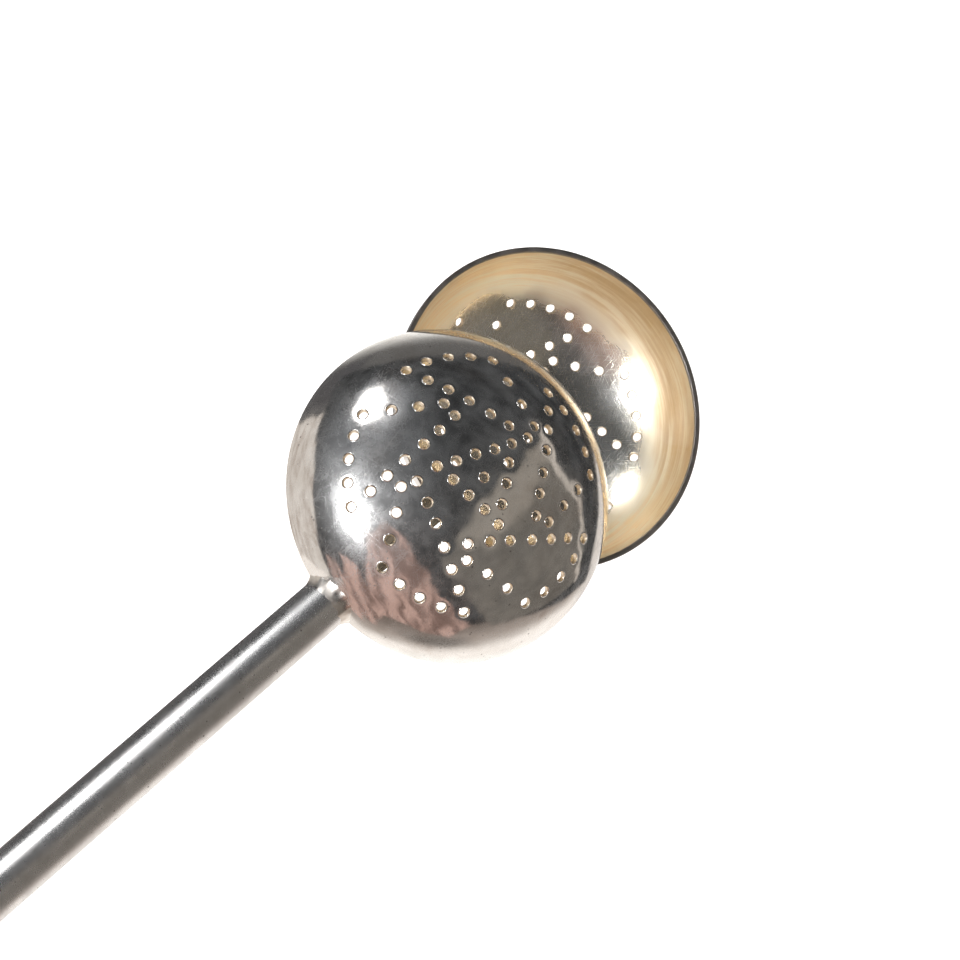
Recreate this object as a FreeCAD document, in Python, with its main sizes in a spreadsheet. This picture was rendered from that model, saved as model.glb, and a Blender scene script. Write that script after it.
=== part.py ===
import FreeCAD, Part

import math
import os

import Sketcher

# Sliding tea-ball infuser: two identical perforated cups on a tubular handle.  The fixed cup is soldered to
# the front of the tube.  The sliding cup is soldered to a half-round rod that runs in the tube, and a push
# knob at the rear of the handle slides it along the handle's axis, so that the ball opens.
#
# Frame: millimetres, +Z up the handle, origin at the middle of the handle's tube on its axis, where it is
# held.  The parting plane of the ball is XZ.  The fixed cup bulges towards -Y and the sliding cup towards +Y.
# Everything is built in the open position, with the sliding cup a distance "opening" below its closed place.

V = FreeCAD.Vector

DIMENSIONS = {
    "cup_radius": 19.0,
    "cup_depth": 11.0,
    "cup_wall": 0.6,
    "hole_diameter": 1.1,
    "punch_length": 3.0,
    "rim_gap": 0.12,
    "opening": 17.0,
    "over_travel": 1.0,
    "stop_gap": 0.3,
    "tube_gap": 0.3,
    "tube_length": 100.0,
    "tube_radius": 2.85,
    "bore_radius": 2.2,
    "solder_radius": 3.4,
    "solder_rise": 0.5,
    "solder_drop": 1.6,
    "bush_recess": 2.2,
    "bush_length": 6.0,
    "rod_radius": 1.6,
    "clearance": 0.05,
    "foot_radius": 2.0,
    "foot_length": 1.6,
    "coupler_radius": 2.12,
    "coupler_length": 10.0,
    "stem_radius": 1.2,
    "pin_radius": 0.5,
    "pin_length": 3.1,
    "knob_pin_length": 3.8,
    "spring_outer": 16.3,
    "spring_thickness": 0.22,
    "spring_width": 1.6,
    "spring_foot": 3.4,
    "spring_lap": 0.3,
    "spring_relief": 0.25,
    "spring_setback": 14.0,
    "rivet_radius": 0.45,
    "rivet_head": 0.8,
    "rivet_rise": 0.3,
    "cap_spigot": 5.0,
    "cap_flange": 2.2,
    "cap_radius": 3.6,
    "knob_neck": 2.0,
    "knob_radius": 4.5,
    "knob_bulge": 3.4,
    "knob_height": 8.6,
    "knob_flat": 0.5,
    "bead_radius": 0.7,
    "edge_round": 0.5,
}

# The perforation pattern, seen from outside a cup: a sector of holes repeated five times round the pole, a
# three-pointed star inside it and one hole at the pole.  Radii are fractions of the cup's radius, angles are
# degrees.
RING_RADIUS = 0.752
RING_STEP = 10.6
RING_HOLES = 5
SECTORS = 5
SECTOR_HOLES = (
    (0.643, 15.8),
    (0.549, 8.1),
    (0.460, -3.1),
    (0.389, -19.9),
    (0.365, -38.9),
    (0.391, -58.9),
    (0.638, -29.5),
    (0.542, -41.1),
    (0.480, -56.2),
)
STAR_POINTS = 3
STAR_TURN = -3.0
STAR_HOLES = ((0.280, 0.0), (0.185, 17.5), (0.185, -17.5), (0.142, 60.0))
FIXED_CUP_TURN = 131.2
SLIDING_CUP_TURN = 35.8

doc = FreeCAD.newDocument("tea_ball_infuser")


def make_sheet():
    sheet = doc.addObject("Spreadsheet::Sheet", "Dimensions")
    for row, (alias, value) in enumerate(DIMENSIONS.items(), start=1):
        sheet.set(f"A{row}", alias)
        sheet.set(f"B{row}", str(value))
        sheet.setAlias(f"B{row}", alias)
    doc.recompute()
    return sheet


sheet = make_sheet()


def size(alias):
    return float(sheet.get(alias))


def bound(text):
    """Turn each sheet alias in a formula into a reference to its cell."""
    words = []
    for word in text.split():
        words.append(f"Dimensions.{word}" if word in DIMENSIONS else word)
    return " ".join(words)


# Heights along the handle, as formulas over the sheet.
TUBE_FRONT = "tube_length / -2"
TUBE_REAR = "tube_length / 2"
BALL_CENTRE = f"{TUBE_FRONT} - tube_gap - cup_radius"
BUSH_FRONT = f"{TUBE_FRONT} + bush_recess"
ROD_FRONT = f"{BALL_CENTRE} + cup_radius + clearance - opening"
COUPLER_REAR = f"{TUBE_REAR} - cap_spigot - stop_gap - opening"
COUPLER_FRONT = f"{COUPLER_REAR} - coupler_length"
COUPLER_MIDDLE = f"{COUPLER_REAR} - coupler_length / 2"
CAP_TOP = f"{TUBE_REAR} + cap_flange"
KNOB_BASE = f"{CAP_TOP} + over_travel + stop_gap"
SPRING_MIDDLE = f"{COUPLER_FRONT} - spring_setback"
SPRING_FOOT = f"{SPRING_MIDDLE} + spring_outer / 2 - spring_lap"


def primitive(kind, name, sizes, x="0", y="0", z="0"):
    """A Part primitive with its sizes and place bound to the sheet."""
    obj = doc.addObject(kind, name)
    for prop, formula in sizes.items():
        obj.setExpression(prop, bound(formula))
    for axis, formula in zip("xyz", (x, y, z)):
        obj.setExpression(f"Placement.Base.{axis}", bound(formula))
    return obj


def cylinder_x(name, radius, length, y, z):
    """A cylinder along X, centred on the YZ plane."""
    obj = primitive(
        "Part::Cylinder",
        name,
        {"Radius": radius, "Height": length},
        x=f"( {length} ) / -2",
        y=y,
        z=z,
    )
    obj.Placement = FreeCAD.Placement(V(0, 0, 0), FreeCAD.Rotation(V(0, 1, 0), 90))
    return obj


def cut(name, base, tool):
    obj = doc.addObject("Part::Cut", name)
    obj.Base = base
    obj.Tool = tool
    return obj


def common(name, base, tool):
    obj = doc.addObject("Part::Common", name)
    obj.Base = base
    obj.Tool = tool
    return obj


def fuse(name, *shapes):
    obj = doc.addObject("Part::MultiFuse", name)
    obj.Shapes = list(shapes)
    return obj


def plane(body, role):
    return next(f for f in body.Origin.OriginFeatures if f.Role == role)


def lathe(name, profile, base="0"):
    """A turned piece: a closed profile of (radius, height) formulas, spun round the handle's axis."""
    body = doc.addObject("PartDesign::Body", name)
    sketch = body.newObject("Sketcher::SketchObject", f"{name}_profile")
    sketch.AttachmentSupport = [(plane(body, "XZ_Plane"), "")]
    sketch.MapMode = "FlatFace"
    radii = [doc_value(r) for r, _ in profile]
    heights = [doc_value(h) for _, h in profile]
    count = len(profile)
    for i in range(count):
        k = (i + 1) % count
        sketch.addGeometry(Part.LineSegment(V(radii[i], heights[i], 0), V(radii[k], heights[k], 0)), False)
    for i in range(count):
        sketch.addConstraint(Sketcher.Constraint("Coincident", i, 2, (i + 1) % count, 1))
    for i, (radius, height) in enumerate(profile):
        for kind, value, formula in (("DistanceX", radii[i], radius), ("DistanceY", heights[i], height)):
            index = sketch.addConstraint(Sketcher.Constraint(kind, -1, 1, i, 1, value))
            sketch.setExpression(f"Constraints[{index}]", bound(formula))
    spin = body.newObject("PartDesign::Revolution", f"{name}_spin")
    spin.Profile = sketch
    spin.ReferenceAxis = (sketch, ["V_Axis"])
    spin.Angle = 360
    body.setExpression("Placement.Base.z", bound(base))
    doc.recompute()
    return body


def doc_value(formula):
    """A formula's number, with each alias read from the sheet."""
    words = [str(size(w)) if w in DIMENSIONS else w for w in formula.split()]
    value = FreeCAD.Units.Quantity(" ".join(words))
    return float(value.Value)


def round_edges(body, radius, chosen):
    """Fillet the edges of a turned piece that the test picks out."""
    tip = body.Tip
    names = [f"Edge{i}" for i, edge in enumerate(tip.Shape.Edges, start=1) if chosen(edge)]
    fillet = body.newObject("PartDesign::Fillet", f"{body.Name}_round")
    fillet.Base = (tip, names)
    fillet.setExpression("Radius", bound(radius))
    body.Tip = fillet
    doc.recompute()


def half_round(name, radius, flat, length, base):
    """A half-round bar along Z: the part of a round bar with Y above the flat."""
    body = doc.addObject("PartDesign::Body", name)
    sketch = body.newObject("Sketcher::SketchObject", f"{name}_section")
    sketch.AttachmentSupport = [(plane(body, "XY_Plane"), "")]
    sketch.MapMode = "FlatFace"
    r = doc_value(radius)
    f = doc_value(flat)
    start = math.asin(f / r)
    half = r * math.cos(start)
    circle = Part.Circle(V(0, 0, 0), V(0, 0, 1), r)
    arc = sketch.addGeometry(Part.ArcOfCircle(circle, start, math.pi - start), False)
    line = sketch.addGeometry(Part.LineSegment(V(-half, f, 0), V(half, f, 0)), False)
    sketch.addConstraint(Sketcher.Constraint("Coincident", arc, 2, line, 1))
    sketch.addConstraint(Sketcher.Constraint("Coincident", line, 2, arc, 1))
    sketch.addConstraint(Sketcher.Constraint("Coincident", arc, 3, -1, 1))
    sketch.addConstraint(Sketcher.Constraint("Horizontal", line))
    index = sketch.addConstraint(Sketcher.Constraint("Radius", arc, r))
    sketch.setExpression(f"Constraints[{index}]", bound(radius))
    index = sketch.addConstraint(Sketcher.Constraint("DistanceY", -1, 1, line, 1, f))
    sketch.setExpression(f"Constraints[{index}]", bound(flat))
    pad = body.newObject("PartDesign::Pad", f"{name}_pad")
    pad.Profile = sketch
    pad.setExpression("Length", bound(length))
    body.setExpression("Placement.Base.z", bound(base))
    doc.recompute()
    return body


def dome(name, radius, depth, first_angle):
    """Half or all of an ellipsoid whose pole is on +Z."""
    obj = doc.addObject("Part::Ellipsoid", name)
    for prop, formula in {"Radius1": depth, "Radius2": radius, "Radius3": radius}.items():
        obj.setExpression(prop, bound(formula))
    obj.Angle1 = first_angle
    return obj


def punch(index, fraction, angle):
    """One hole's cylinder, square to the cup's surface, at a fraction of the cup's radius from its axis."""
    radius = size("cup_radius")
    depth = size("cup_depth")
    r = fraction * radius
    z = depth * math.sqrt(1 - fraction**2)
    tilt = math.atan2(r * depth**2, z * radius**2)
    back = size("punch_length") / 2
    turn = FreeCAD.Rotation(V(0, 0, 1), angle)
    lean = FreeCAD.Rotation(V(0, 1, 0), math.degrees(tilt))
    foot = V(r - back * math.sin(tilt), 0, z - back * math.cos(tilt))
    obj = doc.addObject("Part::Cylinder", f"punch_{index}")
    obj.setExpression("Radius", bound("hole_diameter / 2"))
    obj.setExpression("Height", bound("punch_length"))
    obj.Placement = FreeCAD.Placement(turn.multVec(foot), turn.multiply(lean))
    return obj


def perforation():
    """(fraction of radius, angle) of every hole."""
    holes = [(0.0, 0.0)]
    for sector in range(SECTORS):
        middle = sector * 360 / SECTORS
        for step in range(RING_HOLES):
            holes.append((RING_RADIUS, middle + (step - RING_HOLES // 2) * RING_STEP))
        for fraction, offset in SECTOR_HOLES:
            holes.append((fraction, middle + offset))
    for point in range(STAR_POINTS):
        middle = STAR_TURN + point * 360 / STAR_POINTS
        for fraction, offset in STAR_HOLES:
            holes.append((fraction, middle + offset))
    return holes


def cup_place(pole_y, turn, y, z):
    """Place a cup with its pole along +Y or -Y; its own X axis points down, away from the handle."""
    stand = FreeCAD.Rotation(V(0, 0, -1), V(-pole_y, 0, 0), V(0, pole_y, 0), "ZXY")
    return FreeCAD.Placement(V(0, y, z), stand.multiply(FreeCAD.Rotation(V(0, 0, 1), turn)))


def fixed_cup_place(turn):
    return cup_place(-1, turn, 0, doc_value(BALL_CENTRE))


def sliding_cup_place(turn):
    return cup_place(1, turn, size("rim_gap"), doc_value(BALL_CENTRE) - size("opening"))


def make_cups():
    """The two pressed cups, which are the same piece used twice."""
    outside = dome("cup_outside", "cup_radius", "cup_depth", 0)
    inside = dome("cup_inside", "cup_radius - cup_wall", "cup_depth - cup_wall", -90)
    blank = cut("cup_blank", outside, inside)
    punches = doc.addObject("Part::Compound", "punches")
    punches.Links = [punch(i, fraction, angle) for i, (fraction, angle) in enumerate(perforation())]
    fixed = cut("fixed_cup", blank, punches)
    sliding = cut("sliding_cup", blank, punches)
    doc.recompute()
    fixed.Placement = fixed_cup_place(FIXED_CUP_TURN)
    sliding.Placement = sliding_cup_place(SLIDING_CUP_TURN)
    return fixed, sliding


def cup_block(name, place):
    """The solid ellipsoid of a cup's outside, where that cup is, as a tool."""
    obj = dome(name, "cup_radius", "cup_depth", -90)
    doc.recompute()
    obj.Placement = place
    return obj


def make_tube():
    tube = lathe(
        "handle_tube",
        [
            ("bore_radius", "0"),
            ("tube_radius", "0"),
            ("tube_radius", "tube_length"),
            ("bore_radius", "tube_length"),
        ],
        TUBE_FRONT,
    )
    return tube


def make_cup_solder():
    """The fillet of solder between the tube's front and the fixed cup, on the fixed cup's side only."""
    cone = primitive(
        "Part::Cone",
        "solder_cone",
        {
            "Radius1": "solder_radius",
            "Radius2": "tube_radius + clearance",
            "Height": "solder_drop + solder_rise",
        },
        z=f"{TUBE_FRONT} - solder_drop",
    )
    half = primitive(
        "Part::Box",
        "solder_half",
        {"Length": "4 * solder_radius", "Width": "2 * solder_radius", "Height": "3 * solder_radius"},
        x="-2 * solder_radius",
        y="-2 * solder_radius - clearance",
        z=f"{TUBE_FRONT} - solder_radius",
    )
    tube_block = primitive(
        "Part::Cylinder",
        "solder_tube_block",
        {"Radius": "tube_radius", "Height": "tube_length"},
        z=TUBE_FRONT,
    )
    near_side = common("solder_near_side", cone, half)
    off_cup = cut("solder_off_cup", near_side, cup_block("fixed_cup_block", fixed_cup_place(0)))
    return cut("cup_solder", off_cup, tube_block)


def make_front_bush():
    """The plug in the tube's mouth, with the half-round hole that guides the rod and stops it turning."""
    blank = lathe(
        "bush_blank",
        [("0", "0"), ("bore_radius", "0"), ("bore_radius", "bush_length"), ("0", "bush_length")],
        BUSH_FRONT,
    )
    hole = half_round(
        "bush_hole",
        "rod_radius + clearance",
        "rim_gap - clearance",
        "3 * bush_length",
        f"{BUSH_FRONT} - bush_length",
    )
    return cut("front_bush", blank, hole)


def make_end_cap():
    cap = lathe(
        "end_cap",
        [
            ("stem_radius + clearance", "0"),
            ("bore_radius", "0"),
            ("bore_radius", "cap_spigot"),
            ("cap_radius", "cap_spigot"),
            ("cap_radius", "cap_spigot + cap_flange"),
            ("stem_radius + clearance", "cap_spigot + cap_flange"),
        ],
        f"{TUBE_REAR} - cap_spigot",
    )
    rim = size("cap_radius")
    round_edges(cap, "edge_round", lambda e: is_circle(e, rim))
    return cap


def is_circle(edge, radius):
    """Whether an edge is a full circle of this radius."""
    curve = edge.Curve
    return isinstance(curve, Part.Circle) and abs(curve.Radius - radius) < 1e-6


def make_rod():
    return half_round("slide_rod", "rod_radius", "rim_gap", f"{COUPLER_MIDDLE} - ( {ROD_FRONT} )", ROD_FRONT)


def make_rod_solder(rod):
    """The fillet of solder between the rod's front and the sliding cup's outside."""
    cone = primitive(
        "Part::Cone",
        "foot_cone",
        {"Radius1": "foot_radius", "Radius2": "rod_radius + clearance", "Height": "foot_length"},
        z=f"{ROD_FRONT} - foot_length / 2",
    )
    half = primitive(
        "Part::Box",
        "foot_half",
        {"Length": "4 * foot_radius", "Width": "2 * foot_radius", "Height": "4 * foot_radius"},
        x="-2 * foot_radius",
        y="rim_gap",
        z=f"{ROD_FRONT} - 2 * foot_radius",
    )
    far_side = common("foot_far_side", cone, half)
    off_cup = cut("foot_off_cup", far_side, cup_block("sliding_cup_block", sliding_cup_place(0)))
    return cut("rod_solder", off_cup, rod)


def make_stem():
    stem = lathe(
        "plunger_stem",
        [
            ("0", "0"),
            ("stem_radius", "0"),
            ("stem_radius", f"{KNOB_BASE} - ( {COUPLER_MIDDLE} ) + knob_height / 2"),
            ("0", f"{KNOB_BASE} - ( {COUPLER_MIDDLE} ) + knob_height / 2"),
        ],
        COUPLER_MIDDLE,
    )
    return stem


def make_coupler_pins():
    """Two riveted cross pins: one holds the rod in the coupler and the other holds the stem."""
    front_z = f"{COUPLER_FRONT} + coupler_length / 4"
    rear_z = f"{COUPLER_REAR} - coupler_length / 4"
    front = cylinder_x("rod_pin", "pin_radius", "pin_length", "rod_radius / 2", front_z)
    rear = cylinder_x("stem_pin", "pin_radius", "pin_length", "0", rear_z)
    pins = doc.addObject("Part::Compound", "coupler_pins")
    pins.Links = [front, rear]
    return pins


def make_coupler(rod, stem, pins):
    """The slug that joins the half-round rod to the round stem and guides both in the tube's bore."""
    blank = lathe(
        "coupler_blank",
        [("0", "0"), ("coupler_radius", "0"), ("coupler_radius", "coupler_length"), ("0", "coupler_length")],
        COUPLER_FRONT,
    )
    return cut("coupler", blank, fuse("coupler_bores", rod, stem, pins))


def make_friction_spring():
    """A bowed leaf on the rod's flat that bears on the bore, so that the cup stays where it is put.

    It is drawn pressed in, with its crest just clear of the bore.
    """
    bow_axis_y = "spring_outer - bore_radius + spring_relief"
    bow_outside = cylinder_x("bow_outside", "spring_outer", "spring_width", bow_axis_y, SPRING_MIDDLE)
    bow_inside = cylinder_x(
        "bow_inside", "spring_outer - spring_thickness", "2 * spring_width", bow_axis_y, SPRING_MIDDLE
    )
    window = primitive(
        "Part::Box",
        "bow_window",
        {"Length": "2 * spring_width", "Width": "2 * bore_radius + rim_gap", "Height": "2 * spring_outer"},
        x="spring_width * -1",
        y="-2 * bore_radius",
        z=f"{SPRING_MIDDLE} - spring_outer",
    )
    foot = primitive(
        "Part::Box",
        "bow_foot",
        {"Length": "spring_width", "Width": "spring_thickness", "Height": "spring_foot"},
        x="spring_width / -2",
        y="rim_gap - spring_thickness",
        z=SPRING_FOOT,
    )
    bow = common("bow", cut("bow_ring", bow_outside, bow_inside), window)
    return fuse("spring_blank", bow, foot)


def make_spring_rivet():
    """The rivet that holds the spring's foot to the rod: a shank in the rod under a round head."""
    place = {"z": f"{SPRING_FOOT} + spring_foot / 2"}
    shank = primitive(
        "Part::Cylinder",
        "rivet_shank",
        {"Radius": "rivet_radius", "Height": "rod_radius / 2 + spring_thickness"},
        y="rod_radius / 2 + rim_gap",
        **place,
    )
    head = primitive(
        "Part::Cylinder",
        "rivet_head_disc",
        {"Radius": "rivet_head", "Height": "rivet_rise"},
        y="rim_gap - spring_thickness",
        **place,
    )
    for obj in (shank, head):
        obj.Placement = FreeCAD.Placement(V(0, 0, 0), FreeCAD.Rotation(V(1, 0, 0), 90))
    return fuse("spring_rivet", shank, head), shank


def make_knob():
    """A turned knob: a bead, a neck and a flattened ball with a flat top for the thumb."""
    middle = f"{KNOB_BASE} + knob_height - knob_bulge"
    ball = dome("knob_ball", "knob_radius", "knob_bulge", -90)
    ball.setExpression("Placement.Base.z", bound(middle))
    neck = primitive(
        "Part::Cylinder",
        "knob_neck_bar",
        {"Radius": "knob_neck", "Height": "knob_height - knob_bulge"},
        z=KNOB_BASE,
    )
    bead = primitive(
        "Part::Torus",
        "knob_bead",
        {"Radius1": "knob_neck + bead_radius / 4", "Radius2": "bead_radius"},
        z=f"{KNOB_BASE} + bead_radius",
    )
    top = primitive(
        "Part::Box",
        "knob_top",
        {"Length": "4 * knob_radius", "Width": "4 * knob_radius", "Height": "knob_height"},
        x="knob_radius * -2",
        y="knob_radius * -2",
        z=f"{KNOB_BASE} + knob_height - knob_flat",
    )
    return cut("knob_blank", fuse("knob_turning", ball, neck, bead), top)


def check(parts):
    for obj in doc.Objects:
        bad = [state for state in obj.State if state in ("Invalid", "Error")]
        if bad:
            raise RuntimeError(f"{obj.Name}: {bad}")
    for obj in parts:
        shape = obj.Shape
        if shape.isNull() or not shape.isValid():
            raise RuntimeError(f"{obj.Label}: bad shape")
        print(f"{obj.Label:16s} solids {len(shape.Solids)} volume {shape.Volume:9.2f} mm3", shape.BoundBox)


def main():
    fixed_cup, sliding_cup = make_cups()
    tube = make_tube()
    cup_solder = make_cup_solder()
    bush = make_front_bush()
    cap = make_end_cap()
    rod_blank = make_rod()
    rod_solder = make_rod_solder(rod_blank)
    stem_blank = make_stem()
    pins = make_coupler_pins()
    coupler = make_coupler(rod_blank, stem_blank, pins)
    spring_blank = make_friction_spring()
    rivet, shank = make_spring_rivet()
    spring = cut("friction_spring", spring_blank, shank)
    rod = cut("drilled_rod", rod_blank, fuse("rod_holes", pins, shank))
    knob_pin = cylinder_x("knob_pin", "pin_radius", "knob_pin_length", "0", f"{KNOB_BASE} + 3 * bead_radius")
    stem = cut("drilled_stem", stem_blank, fuse("stem_holes", pins, knob_pin))
    knob = cut("knob", make_knob(), fuse("knob_holes", stem_blank, knob_pin))
    doc.recompute()
    rod_blank.Label = "rod_blank"
    stem_blank.Label = "stem_blank"
    rod.Label = "slide_rod"
    stem.Label = "plunger_stem"
    parts = [
        fixed_cup,
        cup_solder,
        tube,
        bush,
        cap,
        sliding_cup,
        rod_solder,
        rod,
        coupler,
        pins,
        spring,
        rivet,
        stem,
        knob,
        knob_pin,
    ]
    check(parts)
    os.makedirs("parts", exist_ok=True)
    for obj in parts:
        obj.Shape.exportStep(os.path.join("parts", f"{obj.Label}.step"))


main()
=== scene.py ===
import math

import bpy
import numpy as np
from mathutils import Matrix, Vector, noise
from mathutils.geometry import delaunay_2d_cdt


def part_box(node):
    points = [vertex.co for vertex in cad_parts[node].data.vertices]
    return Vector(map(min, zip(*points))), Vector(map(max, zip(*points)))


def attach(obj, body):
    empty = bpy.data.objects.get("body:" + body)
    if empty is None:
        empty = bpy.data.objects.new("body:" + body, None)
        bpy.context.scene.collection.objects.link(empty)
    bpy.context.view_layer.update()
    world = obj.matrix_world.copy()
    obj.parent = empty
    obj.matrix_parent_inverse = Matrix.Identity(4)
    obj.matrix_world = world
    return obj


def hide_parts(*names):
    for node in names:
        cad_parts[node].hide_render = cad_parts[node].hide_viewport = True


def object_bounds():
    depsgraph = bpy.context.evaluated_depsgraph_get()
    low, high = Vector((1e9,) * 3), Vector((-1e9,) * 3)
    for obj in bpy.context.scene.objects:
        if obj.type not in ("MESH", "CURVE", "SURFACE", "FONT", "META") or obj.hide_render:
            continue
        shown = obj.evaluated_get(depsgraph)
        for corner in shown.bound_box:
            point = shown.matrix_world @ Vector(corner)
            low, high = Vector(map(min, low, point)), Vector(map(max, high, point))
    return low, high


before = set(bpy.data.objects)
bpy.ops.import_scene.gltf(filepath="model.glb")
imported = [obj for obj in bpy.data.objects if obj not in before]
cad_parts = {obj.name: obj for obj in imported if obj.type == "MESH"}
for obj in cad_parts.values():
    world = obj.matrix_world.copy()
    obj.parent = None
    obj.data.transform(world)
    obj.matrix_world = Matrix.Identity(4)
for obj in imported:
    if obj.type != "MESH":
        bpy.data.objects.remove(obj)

CAD_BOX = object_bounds()
MM = 0.001
HANDLE_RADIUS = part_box("handle_tube")[1].x

# The camera: a long lens, rolled so that the handle runs to the lower left.
CAMERA_AT = Vector((0.02183, -0.23531, 0.02846))
CAMERA_RIGHT = Vector((-0.62472, -0.36054, -0.69262))
CAMERA_UP = Vector((0.77580, -0.18589, -0.60298))
CAMERA_BACK = Vector((0.08865, -0.91403, 0.39584))
LENS = 85.53
SENSOR = 36.0
NEAR, FAR = 0.01, 100.0

# The cups, in millimetres.
CUP_RADIUS = 19.0
CUP_DEPTH = 11.0
WALL = 0.6
HOLE_RADIUS = 0.52
HOLE_LIP = 0.10
INNER_LIP = 0.03
LIP_STEPS = 4
HOLE_SIDES = 36
RIM_SIDES = 420
RIM_ROUND = 0.07
RIM_STEPS = 3
# The mesh of a cup's skin: the lattice, and the rings of points round each hole and inside the rim.
GRID = 0.42
ROW_HEIGHT = GRID * 0.866
LATTICE_GAP = GRID * 0.62
COLLARS = (0.10, 0.24)
RIM_BANDS = (0.12, 0.3)
MERIDIAN_STEPS = 2000
TINY = 1e-9
# The sheet's unevenness, and how deep and wide the punch drew it in round a hole, outside and inside.
RIPPLES = ((6.5, 0.010), (2.2, 0.0016))
RIPPLE_SEED = 3.0
RIPPLE_TOP = 0.010
CALM_BELOW = 1.5
DENT_OUTSIDE = (-0.018, 0.30)
DENT_INSIDE = (0.012, 0.25)
# Material numbers of a cup.
OUTSIDE, INSIDE, EDGE, RIM = range(4)

# The perforation. RING is the outer arc of a sector: its fraction of the cup's radius, the degrees between
# its holes and how many there are. The other holes are (fraction, degrees from a sector's or point's middle).
SECTORS = 5
RING = (0.752, 10.6, 5)
SECTOR_HOLES = (
    (0.643, 15.8),
    (0.549, 8.1),
    (0.460, -3.1),
    (0.389, -19.9),
    (0.365, -38.9),
    (0.391, -58.9),
    (0.638, -29.5),
    (0.542, -41.1),
    (0.480, -56.2),
)
STAR_POINTS = 3
STAR_TURN = -3.0
STAR_HOLES = ((0.280, 0.0), (0.185, 17.5), (0.185, -17.5), (0.142, 60.0))
FIXED_CUP_TURN = 131.2
SLIDING_CUP_TURN = 35.8

# The fillet of solder, in millimetres: its sections, the points of each, and how far it goes up the tube
# and out over the cup.
SOLDER_SECTIONS = 64
SOLDER_POINTS = 10
SOLDER_RISE = 0.42
SOLDER_SPREAD = 0.45
SOLDER_CREASE = math.radians(50)

SPECK_COLOUR = (0.10, 0.075, 0.06)
RIM_COLOUR = (0.16, 0.14, 0.13)

# The surroundings. White paper is 1. Corners are degrees across and up, as world_directions gives them.
WINDOW_LIGHT = 38.0
PALE_WALL = (1.20, 1.17, 1.12)
BACKDROP = (0.97, 0.98, 1.0, 1.0)
CLOTH = [(21, -13), (73, 44), (108, -13), (108, -44), (47, -66)]
CLOTH_FOLD = [(30, -6), (72, 43), (80, 33), (46, -8)]
CLOTH_HEM = [(72, 44), (90, 17), (102, -9), (107, -45)]
DRAPES = (
    [(-18, -14), (-2, 0), (4, -5), (24, -40), (34, -62), (20, -78), (-30, -62)],
    [(-42, -24), (-30, -28), (-20, -60), (-40, -82), (-48, -60)],
    [(-60, -30), (-50, -30), (-40, -60), (-50, -84), (-66, -60)],
)

# The floor and the lamp.
FLOOR_HALF = 40.0
FLOOR_DROP = 2 * MM
FLOOR_WHITE = (0.9, 0.9, 0.9, 1.0)
LAMP_POWER = 3.6
LAMP_SPREAD = math.radians(60)


# --------------------------------------------------------------------------------------------------
# Cup meshes
# --------------------------------------------------------------------------------------------------


def perforation():
    """(fraction of the radius, angle in radians) of every hole."""
    holes = [(0.0, 0.0)]
    fraction, step, count = RING
    for sector in range(SECTORS):
        middle = sector * 360 / SECTORS
        holes += [(fraction, middle + (i - count // 2) * step) for i in range(count)]
        holes += [(f, middle + offset) for f, offset in SECTOR_HOLES]
    for point in range(STAR_POINTS):
        middle = STAR_TURN + point * 360 / STAR_POINTS
        holes += [(f, middle + offset) for f, offset in STAR_HOLES]
    return [(f, math.radians(a)) for f, a in holes]


def turns(count):
    return np.arange(count) * 2 * math.pi / count


def circle(count):
    """Points of a unit circle on the plane z = 0."""
    phi = turns(count)
    return np.column_stack([np.cos(phi), np.sin(phi), np.zeros(count)])


def spokes(hole):
    """Unit vectors from a hole's centre to its sides."""
    axes = hole[1]
    phi = turns(HOLE_SIDES)
    return np.outer(np.cos(phi), axes[0]) + np.outer(np.sin(phi), axes[1])


def rescale(points, before, after):
    """Moves points from distances before to distances after from the pole, and gives the new distances."""
    was = np.hypot(points[:, 0], points[:, 1])
    now = np.interp(was, before, after)
    factor = np.where(was > TINY, now / np.maximum(was, TINY), 1.0)
    return points[:, :2] * factor[:, None], now


class Dome:
    """Half an ellipsoid with its pole on +Z. Unrolling it keeps lengths along a meridian."""

    def __init__(self, radius, depth, foot):
        self.radius = radius
        self.depth = depth
        t = np.linspace(0, math.pi / 2, MERIDIAN_STEPS)
        r, z = radius * np.sin(t), depth * np.cos(t)
        self.r = r
        self.s = np.concatenate([[0], np.cumsum(np.hypot(np.diff(r), np.diff(z)))])
        self.edge = float(np.interp(radius * math.sqrt(1 - (foot / depth) ** 2), r, self.s))

    def lift(self, flat):
        """Points on the dome from points in the unrolled plane."""
        plan, r = rescale(flat, self.s, self.r)
        z = self.depth * np.sqrt(np.maximum(0, 1 - (r / self.radius) ** 2))
        return np.column_stack([plan, z])

    def unroll(self, points):
        return rescale(points, self.r, self.s)[0]

    def normal(self, points):
        n = points / np.array([self.radius**2, self.radius**2, self.depth**2])
        return n / np.linalg.norm(n, axis=1, keepdims=True)

    def ring(self, hole, radius):
        """Where a circular punch of this radius meets the dome."""
        centre, axes = hole
        p = centre + radius * spokes(hole)
        w = 1 / np.array([self.radius, self.radius, self.depth]) ** 2
        n = axes[2]
        a = (n * n * w).sum()
        b = (p * n * w).sum(axis=1)
        c = (p * p * w).sum(axis=1) - 1
        h = (-b + np.sqrt(b * b - a * c)) / a
        return p + h[:, None] * n


def hole_frames(dome):
    """Each hole's centre on the dome, with two axes across the hole and one along the punch."""
    frames = []
    for fraction, angle in perforation():
        r = fraction * dome.radius
        centre = np.array([r * math.cos(angle), r * math.sin(angle), dome.depth * math.sqrt(1 - fraction**2)])
        n = dome.normal(centre[None])[0]
        across = np.array([-math.sin(angle), math.cos(angle), 0.0])
        frames.append((centre, (across, np.cross(n, across), n)))
    return frames


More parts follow.
